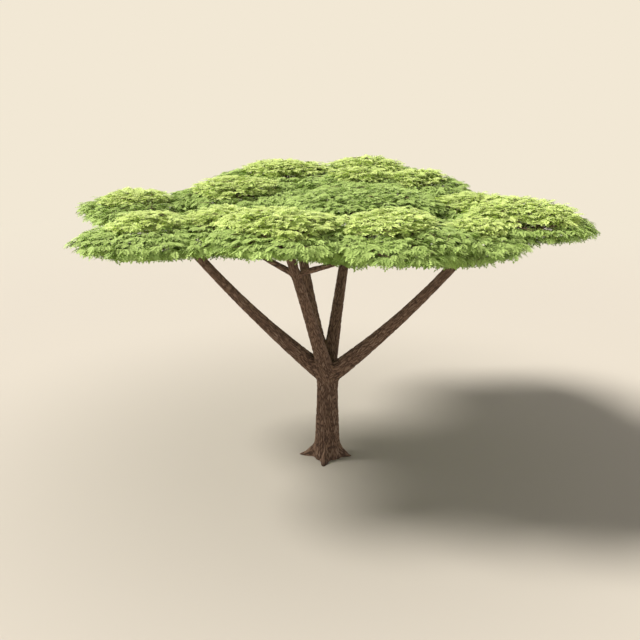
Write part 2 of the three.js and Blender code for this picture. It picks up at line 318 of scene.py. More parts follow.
def bowed_line(node, sources, root=None):
    """A bough or limb: its middles and its radius each follow a parabola through cuts across its solid. It
    starts at the end that lies nearer to the points that it may spring from."""
    points, triangles = solid_of(node)
    axis = np.linalg.svd(points - points.mean(0), full_matrices=False)[2][0]
    ends = points[[(points @ axis).argmin(), (points @ axis).argmax()]]
    first, last = np.linalg.norm(ends[:, None] - sources, axis=-1).min(1)
    axis = axis if first < last else -axis
    low, high = (points @ axis).min(), (points @ axis).max()
    cut_stations = low + (high - low) * np.linspace(*ROD_CUTS, CUTS)
    cuts = [cut_across(points, triangles, axis, s) for s in cut_stations]
    middles = np.array([c[0] for c in cuts])
    begin, stations, weights = low, cut_stations, np.ones(CUTS)
    if root is not None:
        begin = root @ axis
        middles, stations = np.vstack([root, middles]), np.append(begin, stations)
        weights = np.append(FORK_WEIGHT, weights)
    shape = [np.polyfit(stations, middles[:, k], 2, w=weights) for k in range(3)]
    run = np.linspace(begin, high, FITTED)
    line = np.stack([np.polyval(s, run) for s in shape], axis=-1)
    slant = abs(headings(line) @ axis)
    areas = np.array([c[1] for c in cuts]) * np.interp(cut_stations, run, slant)
    radius = np.polyfit(cut_stations, np.sqrt(areas / math.pi), 2)
    return line, np.polyval(radius, run) * FACET_LOSS


def sprung_from(parent, line, radii, back, ahead):
    """A line led out of its parent: a Hermite curve from a point on the parent, back short of the line's
    root and heading the parent's way, to the line some way ahead of its root. Resampled evenly."""
    reach = arc_length(parent.line)
    near = reach[np.argmin(np.linalg.norm(parent.line - line[0], axis=1))]
    start = at_length(parent.line, parent.line, np.array([near - back]))[0]
    start_way = at_length(parent.line, headings(parent.line), np.array([near - back]))[0]
    join = at_length(line, line, np.array([ahead]))[0]
    join_way = at_length(line, headings(line), np.array([ahead]))[0]
    pull = np.linalg.norm(join - start)
    t = np.linspace(0, 1, LEAD_POINTS)[:, None]
    lead = ((2 * t**3 - 3 * t**2 + 1) * start + (t**3 - 2 * t**2 + t) * pull * start_way
            + (3 * t**2 - 2 * t**3) * join + (t**3 - t**2) * pull * join_way)
    onward = arc_length(line) > ahead + LINE_STEP
    whole = np.vstack([lead, line[onward]])
    thick = np.append(np.full(len(lead), np.interp(ahead, arc_length(line), radii)), radii[onward])
    where = np.arange(0, arc_length(whole)[-1], LINE_STEP)
    return at_length(whole, whole, where), at_length(whole, thick, where)[:, 0]


@lru_cache(maxsize=None)
def rods():
    """Every rod by its node's name: the trunk, the boughs from the fork and the limbs from the boughs."""
    trunk = trunk_rod()
    found = {"trunk": trunk}
    fork = trunk.line[-1]
    for node in BOUGHS:
        line, radii = bowed_line(node, fork[None], root=fork)
        found[node] = Rod(node, *sprung_from(trunk, line, radii, *BOUGH_LEAD), "trunk")
    bough_points = np.concatenate([found[b].line for b in BOUGHS])
    for node in LIMBS:
        line, radii = bowed_line(node, bough_points)
        behind = line[0] - headings(line)[0] * np.linspace(0, LOOK_BACK, 16)[:, None]
        gaps = {b: np.linalg.norm(found[b].line[:, None] - behind, axis=-1) for b in BOUGHS}
        parent = min(gaps, key=lambda b: gaps[b].min())
        root = behind[np.argmin(gaps[parent].min(0))]
        if np.linalg.norm(root - line[0]) > LINE_STEP / 2:
            line, radii = np.vstack([root, line]), np.append(radii[0], radii)
        found[node] = Rod(node, *sprung_from(found[parent], line, radii, *LIMB_LEAD), parent)
    return found


# ---- Meshes ----
def shown(name, points, faces, materials, replaced, indices=None, smooth=True):
    """Puts points and arrays of faces into a mesh object that rides on the body and stands for CAD nodes."""
    mesh = bpy.data.meshes.new(name)
    corners = np.concatenate([f.ravel() for f in faces])
    sides = np.concatenate([np.full(len(f), f.shape[1]) for f in faces])
    mesh.vertices.add(len(points))
    mesh.vertices.foreach_set("co", np.ascontiguousarray(points, np.float32).ravel())
    mesh.loops.add(len(corners))
    mesh.loops.foreach_set("vertex_index", corners.astype(np.int32))
    mesh.polygons.add(len(sides))
    mesh.polygons.foreach_set("loop_start", (np.cumsum(sides) - sides).astype(np.int32))
    mesh.polygons.foreach_set("use_smooth", np.full(len(sides), smooth))
    for material in materials:
        mesh.materials.append(material)
    if indices is not None:
        mesh.polygons.foreach_set("material_index", indices.astype(np.int32))
    mesh.update(calc_edges=True)
    piece = bpy.data.objects.new(name, mesh)
    bpy.context.scene.collection.objects.link(piece)
    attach(piece, BODY)
    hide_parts(*replaced)
    return piece


def shown_in_bark(name, points, faces, relief, grain, replaced):
    """A piece in bark, with the relief and the grain that its material reads at each point."""
    piece = shown(name, points, faces, [bark_material()], replaced)
    for label, kind, field, values in (("relief", "FLOAT", "value", relief),
                                       ("grain", "FLOAT_VECTOR", "vector", grain)):
        attribute = piece.data.attributes.new(label, kind, "POINT")
        attribute.data.foreach_set(field, np.ascontiguousarray(values, np.float32).ravel())


def tubes(lines, radii, sides):
    """Tapering tubes round lines (many, points, 3): centre + radius × the directions of its rings.

    Returns the points, the rings first and the two poles last, and the faces.
    """
    many, length = lines.shape[:2]
    out = rings(lines, sides)[1]
    skin = lines[:, :, None] + out * radii[:, :, None, None]
    points = np.concatenate([skin.reshape(many, -1, 3), lines[:, :1], lines[:, -1:]], axis=1)
    return points, tube_faces(many, length, sides)


def tube_faces(many, length, sides):
    """Quads along tubes and a pole of triangles at each end. The rings come first and the two poles last."""
    count = length * sides + 2
    first = np.arange(many)[:, None, None] * count
    row = np.arange(length - 1)[:, None] * sides
    here, ahead = np.arange(sides), (np.arange(sides) + 1) % sides
    quads = np.stack([first + row + here, first + row + ahead, first + row + sides + ahead,
                      first + row + sides + here], axis=-1).reshape(-1, 4)
    start, last = first[:, 0] + length * sides, first[:, 0] + length * sides + 1
    foot = np.stack(np.broadcast_arrays(start, first[:, 0] + ahead, first[:, 0] + here), axis=-1)
    rim = first[:, 0] + (length - 1) * sides
    tip = np.stack(np.broadcast_arrays(last, rim + here, rim + ahead), axis=-1)
    return quads, np.concatenate([foot.reshape(-1, 3), tip.reshape(-1, 3)])


def joined(parts):
    """Several sets of points and faces as one, with each set's faces moved on past the points before it."""
    points, faces, count = [], [[], []], 0
    for part_points, part_faces in parts:
        flat = part_points.reshape(-1, 3)
        points.append(flat)
        for kept, added in zip(faces, part_faces):
            kept.append(added + count)
        count += len(flat)
    return np.concatenate(points), [np.concatenate(f) for f in faces]


# ---- Bark ----
NOISE_GAIN = 1.4  # brings the noise to about -1 to 1
FURROW_WANDER = 1.1  # how far furrows wander round the wood, in ridges
FURROW_EDGE, FINE_EDGE, CRACK_EDGE = 0.30, 0.22, 0.12  # values of their noises at which cuts in the bark end
FINE_DEPTH, CRACK_DEPTH, GRAIN_DEPTH, BED_DEPTH = 0.22, 0.16, 0.10, 0.08  # shares of the bark's height
HIGHEST = 1.1  # that the relief may reach
RELIEF_POWER = 0.7  # of a rod's radius that its relief falls with
SKIN_LEVEL = 0.55  # relief that lies at the rod's own radius
POLE_RELIEF = 0.5
TOE_REACHES = (0.92, 1.04)  # least and most of a toe's reach
TOE_FALL = 2.1  # power that a toe dies away with
FLUTE_DEPTH, FLUTE_HEIGHT = 0.014, 0.7  # flutes that run up the trunk from its toes
OVAL_DEPTH = 0.008  # of the slow waves that keep the trunk from being round
HEEL_DEPTH, HEEL_TURN = 0.04, 2.6  # of the low swellings between the toes


def noise_on(u, v, columns, random):
    """Smooth gradient noise, about -1 to 1, on a lattice of unit cells that closes after the columns.

    Each lattice corner has a random direction. Its share at a point is the offset from the corner along that
    direction, and the four corners' shares are blended by 6t⁵ - 15t⁴ + 10t³ of the offsets.
    """
    rows = math.ceil(v.max()) + 2
    turn = random.uniform(0, FULL_TURN, (rows, columns))
    row, column = np.floor(v).astype(int), np.floor(u).astype(int)
    along, around = v - row, u - column
    total = 0
    for up in (0, 1):
        for side in (0, 1):
            corner = turn[(row + up) % rows, (column + side) % columns]
            share = np.cos(corner) * (around - side) + np.sin(corner) * (along - up)
            total = total + share * blend(1 - abs(around - side)) * blend(1 - abs(along - up))
    return NOISE_GAIN * total


def blend(t):
    """6t⁵ - 15t⁴ + 10t³, which is level at 0 and at 1."""
    return t**3 * (t * (6 * t - 15) + 10)


def bark_relief(around, along, ridges, long, random):
    """Height of the bark from 0 in a furrow to about 1 on a plate.

    Furrows are the zero lines of two noises drawn out along the wood, so that they wander, part and meet,
    and the bark rises from them to plates with level tops. Finer furrows, two to a ridge, short cracks
    across and grain, four to a ridge, lie on the plates.
    """
    u = around * ridges / FULL_TURN
    v = along / long
    few = max(3, ridges // 6)
    u = u + FURROW_WANDER * noise_on(around * few / FULL_TURN, 0.45 * v + 1, few, random)
    u, v = np.broadcast_arrays(u, v + 1)
    furrow = np.minimum(abs(noise_on(u, v, ridges, random)), abs(noise_on(u + 0.37, 0.8 * v, ridges, random)))
    fine = abs(noise_on(2 * u, 2.2 * v, 2 * ridges, random))
    crack = abs(noise_on(u, 4.5 * v, ridges, random))
    grain = noise_on(4 * u, 8 * v, 4 * ridges, random)
    plate = smooth_step(0.0, FURROW_EDGE, furrow)
    top = (1 - FINE_DEPTH * (1 - smooth_step(0.0, FINE_EDGE, fine))
           - CRACK_DEPTH * (1 - smooth_step(0.0, CRACK_EDGE, crack)))
    return np.clip(plate * (top + GRAIN_DEPTH * grain) + BED_DEPTH * (1 - plate) * (0.5 + grain), 0, HIGHEST)


def fillet_of(points, rod, others, breadth):
    """How far a rod's skin is raised where other rods join it: a quarter of the fillet's breadth at the seam,
    falling with the square of the distance to the other rod's skin."""
    raised = np.zeros(len(points))
    for other in others:
        gap = np.full(len(points), np.inf)
        thick = np.zeros(len(points))
        for centre, radius in zip(other.line, other.radii):
            distance = np.sqrt(((points - centre) ** 2).sum(1)) - radius
            closer = distance < gap
            gap[closer] = distance[closer]
            thick[closer] = radius
        width = breadth * np.minimum(thick, rod.radii.max())
        raised = np.maximum(raised, width / 4 * np.clip(1 - abs(gap) / width, 0, 1) ** 2)
    return raised


def kin_of(rod):
    """The rods that a rod may run into: its parent, its children and the other children of its parent."""
    return [o for o in rods().values() if o is not rod
            and (o.node == rod.parent or o.parent == rod.node or (o.parent == rod.parent and rod.parent))]


def barked(rod, sides, row_step, depth, random, swell=None):
    """A rod's skin: rings along its line, pushed outwards by the fillets, by any swelling of its foot and by
    the bark.

    Returns its points and faces, and for each point the relief and the grain, which is the rod straightened
    out, (r cos a, r sin a, distance), so that a pattern can follow the wood.
    """
    settings = bpy.context.scene.acacia_bark
    total = arc_length(rod.line)[-1]
    along = np.linspace(0, total, max(4, round(total / row_step)))
    line = at_length(rod.line, rod.line, along)
    radii = at_length(rod.line, rod.radii, along)[:, 0]
    angle, out = rings(line, sides)
    bare = np.repeat(radii[:, None], sides, axis=1)
    if swell is not None:
        bare = bare + swell(out, line[:, None, 2])
    skin = line[:, None] + out * bare[..., None]
    bare = bare + fillet_of(skin.reshape(-1, 3), rod, kin_of(rod), settings.fillet).reshape(bare.shape)
    ridges = max(7, round(FULL_TURN * radii.max() / settings.ridge_spacing))
    relief = bark_relief(angle[None], along[:, None], ridges, settings.plate_length, random)
    local = depth * (radii / radii.max())[:, None] ** RELIEF_POWER
    radius = bare + (relief - SKIN_LEVEL) * local
    points = np.vstack([(line[:, None] + out * radius[..., None]).reshape(-1, 3), line[:1], line[-1:]])
    grain = np.broadcast_arrays(radius * np.cos(angle), radius * np.sin(angle), along[:, None])
    grain = np.vstack([np.stack(grain, axis=-1).reshape(-1, 3), [[0, 0, 0]], [[0, 0, total]]])
    relief = np.append(relief.ravel(), [POLE_RELIEF, POLE_RELIEF])
    return points, tube_faces(1, len(line), sides), relief, grain


def toes_of(rod, random):
    """The root flare: toes, narrow lobes that die away with height, and low swellings between them.

    The toes stand evenly round the mount, each with its own reach, and the trunk stands a little off their
    middle. So a toe's bearing and reach are taken from the trunk's own foot to its tip.
    """
    settings = bpy.context.scene.acacia_bark
    count = settings.toes
    bearing = settings.toe_turn + np.arange(count) * FULL_TURN / count
    reach = rod.radii[0] + settings.toe_reach * random.uniform(*TOE_REACHES, count)
    tips = reach[:, None] * np.stack([np.cos(bearing), np.sin(bearing)], axis=-1) - rod.line[0, :2]
    aims, reaches = np.arctan2(tips[:, 1], tips[:, 0]), np.linalg.norm(tips, axis=1) - rod.radii[0]

    def swell(out, height):
        angle = np.arctan2(out[..., 1], out[..., 0])
        low = np.clip(1 - height / settings.toe_height, 0, 1) ** TOE_FALL
        total = (FLUTE_DEPTH * np.cos(count * angle) * np.exp(-height / FLUTE_HEIGHT)
                 + OVAL_DEPTH * np.cos(3 * angle + 1 + height))
        for aim, far in zip(aims, reaches):
            off = (angle - aim + math.pi) % FULL_TURN - math.pi
            lobe = np.where(abs(off) < math.pi / count / 2, np.cos(count * off), 0) ** 3
            total = total + far * lobe * low
        return total + HEEL_DEPTH * (0.5 + 0.5 * np.cos(count * angle + HEEL_TURN)) ** 2 * low

    return swell


# ---- Materials ----
FIBRE_SCALE, FIBRE_STRETCH = 85.0, 0.14  # fibres to a metre across the wood, and how much fewer along it
FLAKE_SCALE, PATCH_SCALE = 34.0, 3.2  # flakes and weathered patches to a metre


def plain_material(name, colour, roughness, specular):
    """One plain base colour on a Principled shader."""
    material = bpy.data.materials.new(name)
    material.use_nodes = True
    shader = material.node_tree.nodes["Principled BSDF"]
    shader.inputs["Base Color"].default_value = (*colour, 1)
    shader.inputs["Roughness"].default_value = roughness
    shader.inputs["Specular IOR Level"].default_value = specular
    return material


class Wiring:
    """Adds nodes to the tree of a material or world."""

    def __init__(self, owner):
        self.tree = owner.node_tree

    def put(self, node, inputs):
        """Links each input to the socket that it is given, or sets it to the value."""
        for name, value in inputs.items():
            if isinstance(value, bpy.types.NodeSocket):
                self.tree.links.new(value, node.inputs[name])
            else:
                node.inputs[name].default_value = value

    def add(self, kind, inputs=None, **fields):
        node = self.tree.nodes.new(kind)
        for name, value in fields.items():
            setattr(node, name, value)
        self.put(node, inputs or {})
        return node

    def noise(self, vector, scale, detail, roughness=0.5):
        inputs = {"Vector": vector, "Scale": scale, "Detail": detail, "Roughness": roughness}
        return self.add("ShaderNodeTexNoise", inputs).outputs["Fac"]

    def mix(self, share, first, second):
        """Two colours mixed: on a Mix node for colours, inputs 0, 6 and 7 are the factor, A and B."""
        return self.add("ShaderNodeMix", {0: share, 6: first, 7: second}, data_type="RGBA").outputs[2]

    def ramp(self, value, low, high, to_low=0.0, to_high=1.0, **fields):
        inputs = {"Value": value, "From Min": low, "From Max": high, "To Min": to_low, "To Max": to_high}
        return self.add("ShaderNodeMapRange", inputs, **fields).outputs["Result"]

    def sums(self, operation, first, second):
        return self.add("ShaderNodeMath", {0: first, 1: second}, operation=operation).outputs[0]


@lru_cache(maxsize=None)
def bark_material():
    """Bark: dark furrows, browner ridges and greyed plates, with fine fibres that run along the wood."""
    settings = bpy.context.scene.acacia_bark
    material = plain_material("acacia_bark", settings.ridge_colour, 0.92, 0.2)
    wire = Wiring(material)
    relief = wire.add("ShaderNodeAttribute", attribute_name="relief").outputs["Fac"]
    grain = wire.add("ShaderNodeAttribute", attribute_name="grain").outputs["Vector"]
    stretched = wire.add("ShaderNodeMapping", {"Vector": grain, "Scale": (1.0, 1.0, FIBRE_STRETCH)})
    fibres = wire.noise(stretched.outputs["Vector"], FIBRE_SCALE, 5.0, 0.62)
    flakes = wire.noise(grain, FLAKE_SCALE, 4.0, 0.6)
    patches = wire.noise(grain, PATCH_SCALE, 3.0)
    furrow, ridge, grey = ((*c, 1) for c in (settings.furrow_colour, settings.ridge_colour,
                                             settings.weathered_colour))
    height = wire.sums("ADD", wire.sums("MULTIPLY", relief, 0.8), wire.sums("MULTIPLY", flakes, 0.4))
    brown = wire.mix(wire.ramp(height, 0.18, 0.72), furrow, ridge)
    greyed = wire.sums("MULTIPLY", wire.ramp(height, 0.72, 1.12), wire.ramp(patches, 0.35, 0.68))
    dark = wire.ramp(fibres, 0.3, 0.7, 0.72, 1.16)
    colour = wire.mix(greyed, brown, grey)
    shaded = wire.add("ShaderNodeVectorMath", {0: colour, 1: dark}, operation="MULTIPLY")
    bumps = wire.sums("ADD", fibres, wire.sums("MULTIPLY", flakes, 0.8))
    bump = wire.add("ShaderNodeBump", {"Height": bumps, "Strength": 0.55, "Distance": 0.006})
    wire.put(wire.tree.nodes["Principled BSDF"], {
        "Base Color": shaded.outputs[0],
        "Roughness": wire.ramp(fibres, 0.2, 0.8, 0.98, 0.82),
        "Normal": bump.outputs["Normal"],
    })
    return material


# ---- Growth ----
# A spray's middle, its depth from 0 on the roof to 1 on the belly, its nearness to the rim from 0 to 1, the
# size of its leaves, whether it is new growth, and the number of its mass.
Sprays = namedtuple("Sprays", "place depth edge size young mass")

# A layer's spacing over the roof's, its depth in the mass, its inset from the skin, its share of the rim's
# inset, the size of its leaves, larger where they only close the view, and whether it lies beneath a cap.
Layer = namedtuple("Layer", "spacing depth inset rim size beneath")
LAYERS = (
    Layer(1.00, 0.0, 0.070, 1.0, 1.00, False),
    Layer(1.25, 0.0, 0.030, 1.0, 1.25, True),
    Layer(1.45, 0.5, 0.000, 1.0, 1.35, False),
    Layer(1.12, 1.0, 0.085, 0.6, 1.05, False),
)
JITTER = 0.22  # share of the spacing that a spray is shifted by
LEAST = 0.02  # thickness of a mass that holds any spray
THIN = 0.07  # thickness of a mass that holds a layer in its middle, and half of what one over its belly needs
DEEPEST_INSET = 0.4  # share of the thickness that a layer's inset may take
LOOSE_MIDDLE, LOOSE_SKIN = 0.5, 0.05  # share of the thickness that sprays scatter over, inside and at a skin
FULL_THICKNESS = 0.85  # share of a mass's greatest thickness at which its rim begins
CAP_ROOM = 0.07  # height of a cap over its mass that leaves room for the mass's own roof beneath it
YOUNG_DOWN_TO = 0.9  # depth of the layers that are new growth under a cap
MOST_STEPS = 90  # that a branch may grow
HOLD = 0.45  # pull of the way that a branch is heading already, against 1 towards its goals
WANDER = 0.16  # spread of a branch's heading
CROWDED = 0.45  # share of a step within which no second node stands
PIPE_POWER = 2.35  # of a branch's radius that adds up over the branches that it parts into
RIB_SPREAD = 0.8  # pull of a rib towards its own sprays, against 1 along its limb
COLLAR, BRANCH_END = 1.15, 0.7  # a branch's radius at its root over the next, and at its end over the tip's


def heights_at(node, places):
    """The floor and roof of a solid over places (many, 2): the least and the greatest height at which its
    triangles cross the plumb line there, or NaN where none does."""
    points, triangles = solid_of(node)
    a, b, c = (points[triangles[:, k]] for k in range(3))
    across, over = b - a, c - a
    area = across[:, 0] * over[:, 1] - across[:, 1] * over[:, 0]
    level = abs(area) > 1e-9
    a, across, over, area = a[level], across[level], over[level], area[level]
    offset = places[:, None] - a[None, :, :2]
    u = (offset[..., 0] * over[:, 1] - offset[..., 1] * over[:, 0]) / area
    v = (across[:, 0] * offset[..., 1] - across[:, 1] * offset[..., 0]) / area
    hit = (u >= 0) & (v >= 0) & (u + v <= 1)
    height = a[:, 2] + u * across[:, 2] + v * over[:, 2]
    low = np.where(hit, height, np.inf).min(1)
    high = np.where(hit, height, -np.inf).max(1)
    return np.where(hit.any(1), low, np.nan), np.where(hit.any(1), high, np.nan)


def honeycomb(low, high, spacing, random):
    """Points of a honeycomb grid over a rectangle, each shifted at random by a share of the spacing."""
    rows = np.arange(low[1], high[1] + spacing, spacing * math.sqrt(3) / 2)
    columns = np.arange(low[0], high[0] + spacing, spacing)
    x = columns[None] + (np.arange(len(rows)) % 2)[:, None] * spacing / 2
    grid = np.stack(np.broadcast_arrays(x, rows[:, None]), axis=-1).reshape(-1, 2)
    return grid + random.uniform(-JITTER, JITTER, grid.shape) * spacing


def sprays_in(mass, number, random):
    """Where the sprays of one mass are: honeycomb layers under its roof, in its middle and over its belly.
    Where it has a cap, the top layer is lifted to the cap's roof, and one more goes on beneath the cap."""
    settings = bpy.context.scene.acacia_growth
    cap = mass.replace("foliage_", "new_growth_")
    boxes = [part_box(n) for n in (mass, cap) if n in NODES]
    low, high = np.min([b[0] for b in boxes], axis=0), np.max([b[1] for b in boxes], axis=0)
    middle = (low + high)[:2] / 2
    found = []
    for layer in LAYERS:
        places = honeycomb(low, high, settings.spray_spacing * layer.spacing, random)
        outer = places + unit(places - middle) * settings.rim_inset * layer.rim
        floor, roof = heights_at(mass, places)
        inside = ~np.isnan(heights_at(mass, outer)[0]) & ~np.isnan(floor)
        on_cap, top = np.zeros(len(places), bool), roof
        if cap in NODES:
            cap_floor, cap_roof = heights_at(cap, places)
            on_cap = ~np.isnan(cap_roof)
            top = np.where(on_cap, np.fmax(roof, cap_roof), roof)
            floor = np.where(on_cap, np.fmin(floor, cap_floor), floor)
            inside |= on_cap
        if layer.beneath:
            inside &= on_cap & (top - roof > CAP_ROOM)
        else:
            roof = top
        thick = top - floor
        inside &= thick > max(LEAST, THIN * 2 * layer.depth)
        step = np.minimum(layer.inset, thick * DEEPEST_INSET) * (1 - 2 * layer.depth)
        loose = thick * (LOOSE_MIDDLE if layer.depth == 0.5 else LOOSE_SKIN)
        scatter = random.uniform(-0.5, 0.5, len(places)) * loose
        height = roof * (1 - layer.depth) + floor * layer.depth - step + scatter
        spot = np.column_stack([places, height])[inside]
        deep = ((top - height) / np.maximum(thick, 0.01))[inside]
        young = (on_cap & (layer.depth < YOUNG_DOWN_TO))[inside]
        edge = np.clip(1 - thick / (FULL_THICKNESS * thick[inside].max(initial=0.01)), 0, 1)[inside]
        size, owner = np.full(len(spot), layer.size), np.full(len(spot), number)
        found.append(Sprays(spot, deep, edge, size, young, owner))
    return Sprays(*(np.concatenate(column) for column in zip(*found)))


def grow(root, way, goals, random):
    """Branch nodes grown towards goals, with each node's parent and the step at which it grew, and the node
    that each goal is reached from.

    At each step every goal pulls on the node nearest to it, and each pulled node puts out one more, a step
    along the mean pull, partly the way that it was heading already and a little at random. A goal within a
    twig's reach of a node is done.
    """
    settings = bpy.context.scene.acacia_growth
    places, ways, parents = root[None], way[None], np.array([-1])
    born = np.array([0])
    host = np.full(len(goals), -1)
    for turn in range(1, MOST_STEPS):
        waiting = np.flatnonzero(host < 0)
        gaps = np.linalg.norm(goals[waiting, None] - places, axis=-1)
        nearest = gaps.argmin(1)
        near = gaps[np.arange(len(waiting)), nearest]
        pulling = near >= settings.twig_reach
        host[waiting[~pulling]] = nearest[~pulling]
        if not pulling.any():
            break
        nearest, waiting = nearest[pulling], waiting[pulling]
        pull = np.zeros_like(places)
        np.add.at(pull, nearest, unit(goals[waiting] - places[nearest]))
        busy = np.unique(nearest)
        heading = unit(unit(pull[busy]) + HOLD * ways[busy] + random.normal(0, WANDER, (len(busy), 3)))
        fresh = places[busy] + settings.step * heading
        clear = np.linalg.norm(fresh[:, None] - places, axis=-1).min(1) > CROWDED * settings.step
        places = np.vstack([places, fresh[clear]])
        ways = np.vstack([ways, heading[clear]])
        parents = np.append(parents, busy[clear])
        born = np.append(born, np.full(clear.sum(), turn))
    left = np.flatnonzero(host < 0)
    if len(left):
        host[left] = np.linalg.norm(goals[left, None] - places, axis=-1).argmin(1)
    return places, parents, born, host


def thickness(parents, born, host, tip):
    """The radius of each node: its area-like power is the sum over all the sprays that it carries."""
    carried = np.bincount(host, minlength=len(parents)).astype(float)
    for turn in range(born.max(), 0, -1):
        fresh = np.flatnonzero(born == turn)
        np.add.at(carried, parents[fresh], carried[fresh])
    return tip * np.maximum(carried, 0.5) ** (1 / PIPE_POWER)


def runs_of(parents, radii):
    """The branches as runs of nodes, padded with -1: a node's thickest child carries its run on, and every
    other child starts a run of its own from that node."""
    heir = np.full(len(parents), -1)
    order = np.argsort(radii, kind="stable")
    order = order[parents[order] >= 0]
    heir[parents[order]] = order
    nodes = np.arange(len(parents))
    starts = nodes[(parents >= 0) & (heir[np.maximum(parents, 0)] != nodes)]
    starts = np.append(starts, heir[0]) if heir[0] >= 0 else starts
    columns = [parents[starts], starts]
    while (columns[-1] >= 0).any():
        last = columns[-1]
        columns.append(np.where(last >= 0, heir[np.maximum(last, 0)], -1))
    return np.stack(columns[:-1], axis=1)


Crown = namedtuple("Crown", "runs sprays anchors")  # (lines, radii) groups, the sprays and their twigs' roots


def feeding_limbs():
    """The rod that each mass grows from: the limb of its own name, or the bough that ends nearest to it."""
    chosen = {}
    for mass in MASSES:
        middle = np.mean(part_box(mass), axis=0)
        limb = mass.replace("foliage_", "limb_")
        nearest = min(BOUGHS, key=lambda n: np.linalg.norm(rods()[n].line[-1] - middle))
        chosen[mass] = limb if limb in LIMBS else nearest
    return chosen


@lru_cache(maxsize=None)
def crown():
    """All the branches and sprays: each mass is grown from its own limb's end, in ribs that share its sprays
    out by their bearing from that end."""
    settings = bpy.context.scene.acacia_growth
    random = dice("crown")
    groups, all_sprays, anchors = {}, [], []
    for number, (mass, limb) in enumerate(feeding_limbs().items()):
        rod = rods()[limb]
        root, way = rod.line[-1], headings(rod.line)[-1]
        sprays = sprays_in(mass, number, random)
        bearing = np.arctan2(*(sprays.place - root)[:, 1::-1].T)
        order = np.argsort((bearing + random.uniform(0, FULL_TURN)) % FULL_TURN)
        anchor = np.zeros_like(sprays.place)
        for share in np.array_split(order, settings.ribs):
            goals = sprays.place[share]
            rib_way = unit(way + RIB_SPREAD * unit(goals.mean(0) - root))
            places, parents, born, host = grow(root, rib_way, goals, random)
            radii = thickness(parents, born, host, settings.tip_radius)
            anchor[share] = places[host]
            runs = runs_of(parents, radii)
            lengths = (runs >= 0).sum(1)
            for length in np.unique(lengths):
                picked = runs[lengths == length, :length]
                thick = radii[picked]
                thick[:, 0] = thick[:, 1] * COLLAR
                thick[:, -1] = np.minimum(thick[:, -1], settings.tip_radius * BRANCH_END)
                groups.setdefault(length, []).append((places[picked], thick))
        all_sprays.append(sprays)
        anchors.append(anchor)
    runs = [tuple(np.concatenate(column) for column in zip(*parts)) for _, parts in sorted(groups.items())]
    sprays = Sprays(*(np.concatenate(column) for column in zip(*all_sprays)))
    return Crown(runs, sprays, np.concatenate(anchors))


TWIG_MIDDLE = 0.4  # share of a twig's parabola at which its middle ring stands
TWIG_BACK, TWIG_ON = 0.11, 0.075  # a twig bends this far short of its spray's middle, and ends this far on
TWIG_RISE, BELLY_FALL, RIM_FALL = 0.26, 0.32, 0.30  # slope of a roof twig, and what it loses at belly and rim
TWIG_WANDER, RISE_WANDER = 0.45, 0.08  # spread of a twig's bearing and slope


@lru_cache(maxsize=None)
def twig_lines():
    """Each spray's twig: a parabola from its branch, out under the spray's middle and on to the twig's tip.

    A roof twig rises a little, a belly twig lies level and a rim twig droops, and all lean outwards from the
    branch that they leave.
    """
    random = dice("twigs")
    sprays, anchors = crown().sprays, crown().anchors
    out = sprays.place - anchors
    out[:, 2] = 0
    out = unit(unit(out) + random.normal(0, TWIG_WANDER, out.shape) * [1, 1, 0])
    fall = BELLY_FALL * sprays.depth + RIM_FALL * sprays.edge
    rise = TWIG_RISE - fall + random.normal(0, RISE_WANDER, len(out))
    way = unit(out + rise[:, None] * UP)
    bend, tip = sprays.place - TWIG_BACK * way, sprays.place + TWIG_ON * way
    t = np.array([0, TWIG_MIDDLE, 1.0])[None, :, None]
    return parabola(anchors[:, None], bend[:, None], tip[:, None], t)


def twig_bend(lines):
    """The control point of each twig's parabola, from the middle point that it passes."""
    t = TWIG_MIDDLE
    return (lines[:, 1] - (1 - t) ** 2 * lines[:, 0] - t * t * lines[:, -1]) / (2 * t * (1 - t))


# ---- Leaves ----
FEATHER_ANGLE = math.radians(64)  # between a feather and the midrib
END_PAIRS, END_FEATHER = 0.72, 0.8  # length of the feathers at a leaf's ends and at its tip, over the longest
WIDEST = 0.44  # share of a feather's length at which it is widest
RIB_HALF = 0.0016  # half the breadth of a midrib at its root
VEE, DROOP = 0.15, 1.1  # slope of a leaf's halves, and its fall over the square of the distance along it
FIRST_LEAF, LEAF_SHIFT = 0.42, 0.03  # share of the twig at which its leaves begin, and their chance along it
LEAF_OFF = (78, 34)  # degrees off the twig, from its first leaf to its last
TURN_WANDER, LIFT_WANDER, ROLL_WANDER = 0.22, 0.12, 0.18  # spreads of a leaf's angles
INNER_ROLL = 0.50  # what the middle of a mass adds to the spread of the roll
LIFT, BELLY_DROOP, RIM_DROOP = 0.19, 0.24, 0.50  # a roof leaf's lift, and what it loses at belly and rim
LEAF_SIZES = (0.84, 1.14)
# the under tone is painted shade on the belly of a mass
TONES = ("young_bright", "young_soft", "top", "middle", "under_painted_shade")
YOUNG_TONES = 2  # the first of the tones
TONE_WANDER = 0.16  # spread of the depth that a spray's tone goes by
TOP_TO, MIDDLE_TO, YOUNG_TO = 0.34, 0.72, 0.62  # depths at which the top, middle and young tones end
BRIGHT_SHARE = 0.68  # of the young sprays


